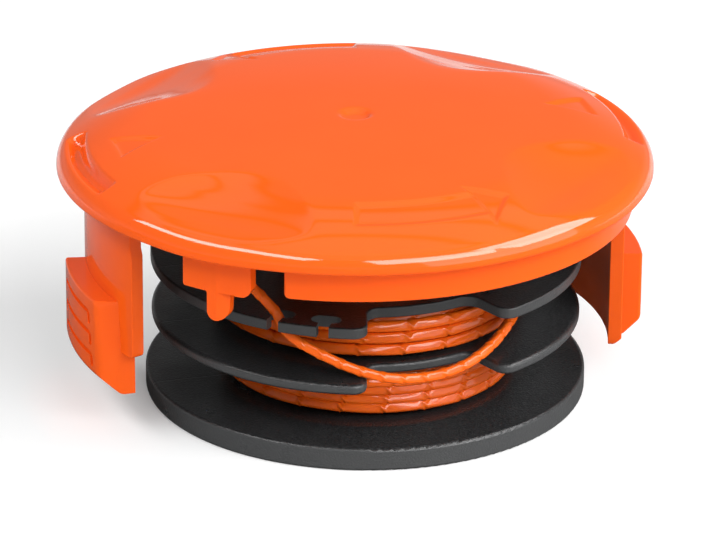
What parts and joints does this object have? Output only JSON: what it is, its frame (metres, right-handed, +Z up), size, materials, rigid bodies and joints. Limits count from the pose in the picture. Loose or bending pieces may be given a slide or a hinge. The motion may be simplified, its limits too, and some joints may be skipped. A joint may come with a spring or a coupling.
{
  "type": "trimmer line spool",
  "caption": "Flanged spool wound with twisted cutting line, standing under a domed clip-on cap with ribbed spring arms, for a grass trimmer head.",
  "frame": {"origin": "on the spool's axis at the underside of its base flange", "axes": "+Z up along the spool's axis to the cap, -Y to the front of the picture, +X to its right"},
  "size_m": [0.0876, 0.0876, 0.0425],
  "materials": {
    "cap_plastic": "smooth glossy orange moulding",
    "spool_plastic": "finely grained black moulding",
    "line_nylon": "glossy orange nylon with twisted edges"
  },
  "bodies": {
    "root": {"spool_cap": "cap_plastic", "line_spool": "spool_plastic", "lower_line": "line_nylon", "upper_line": "line_nylon", "line_end": "line_nylon"}
  },
  "joints": []
}
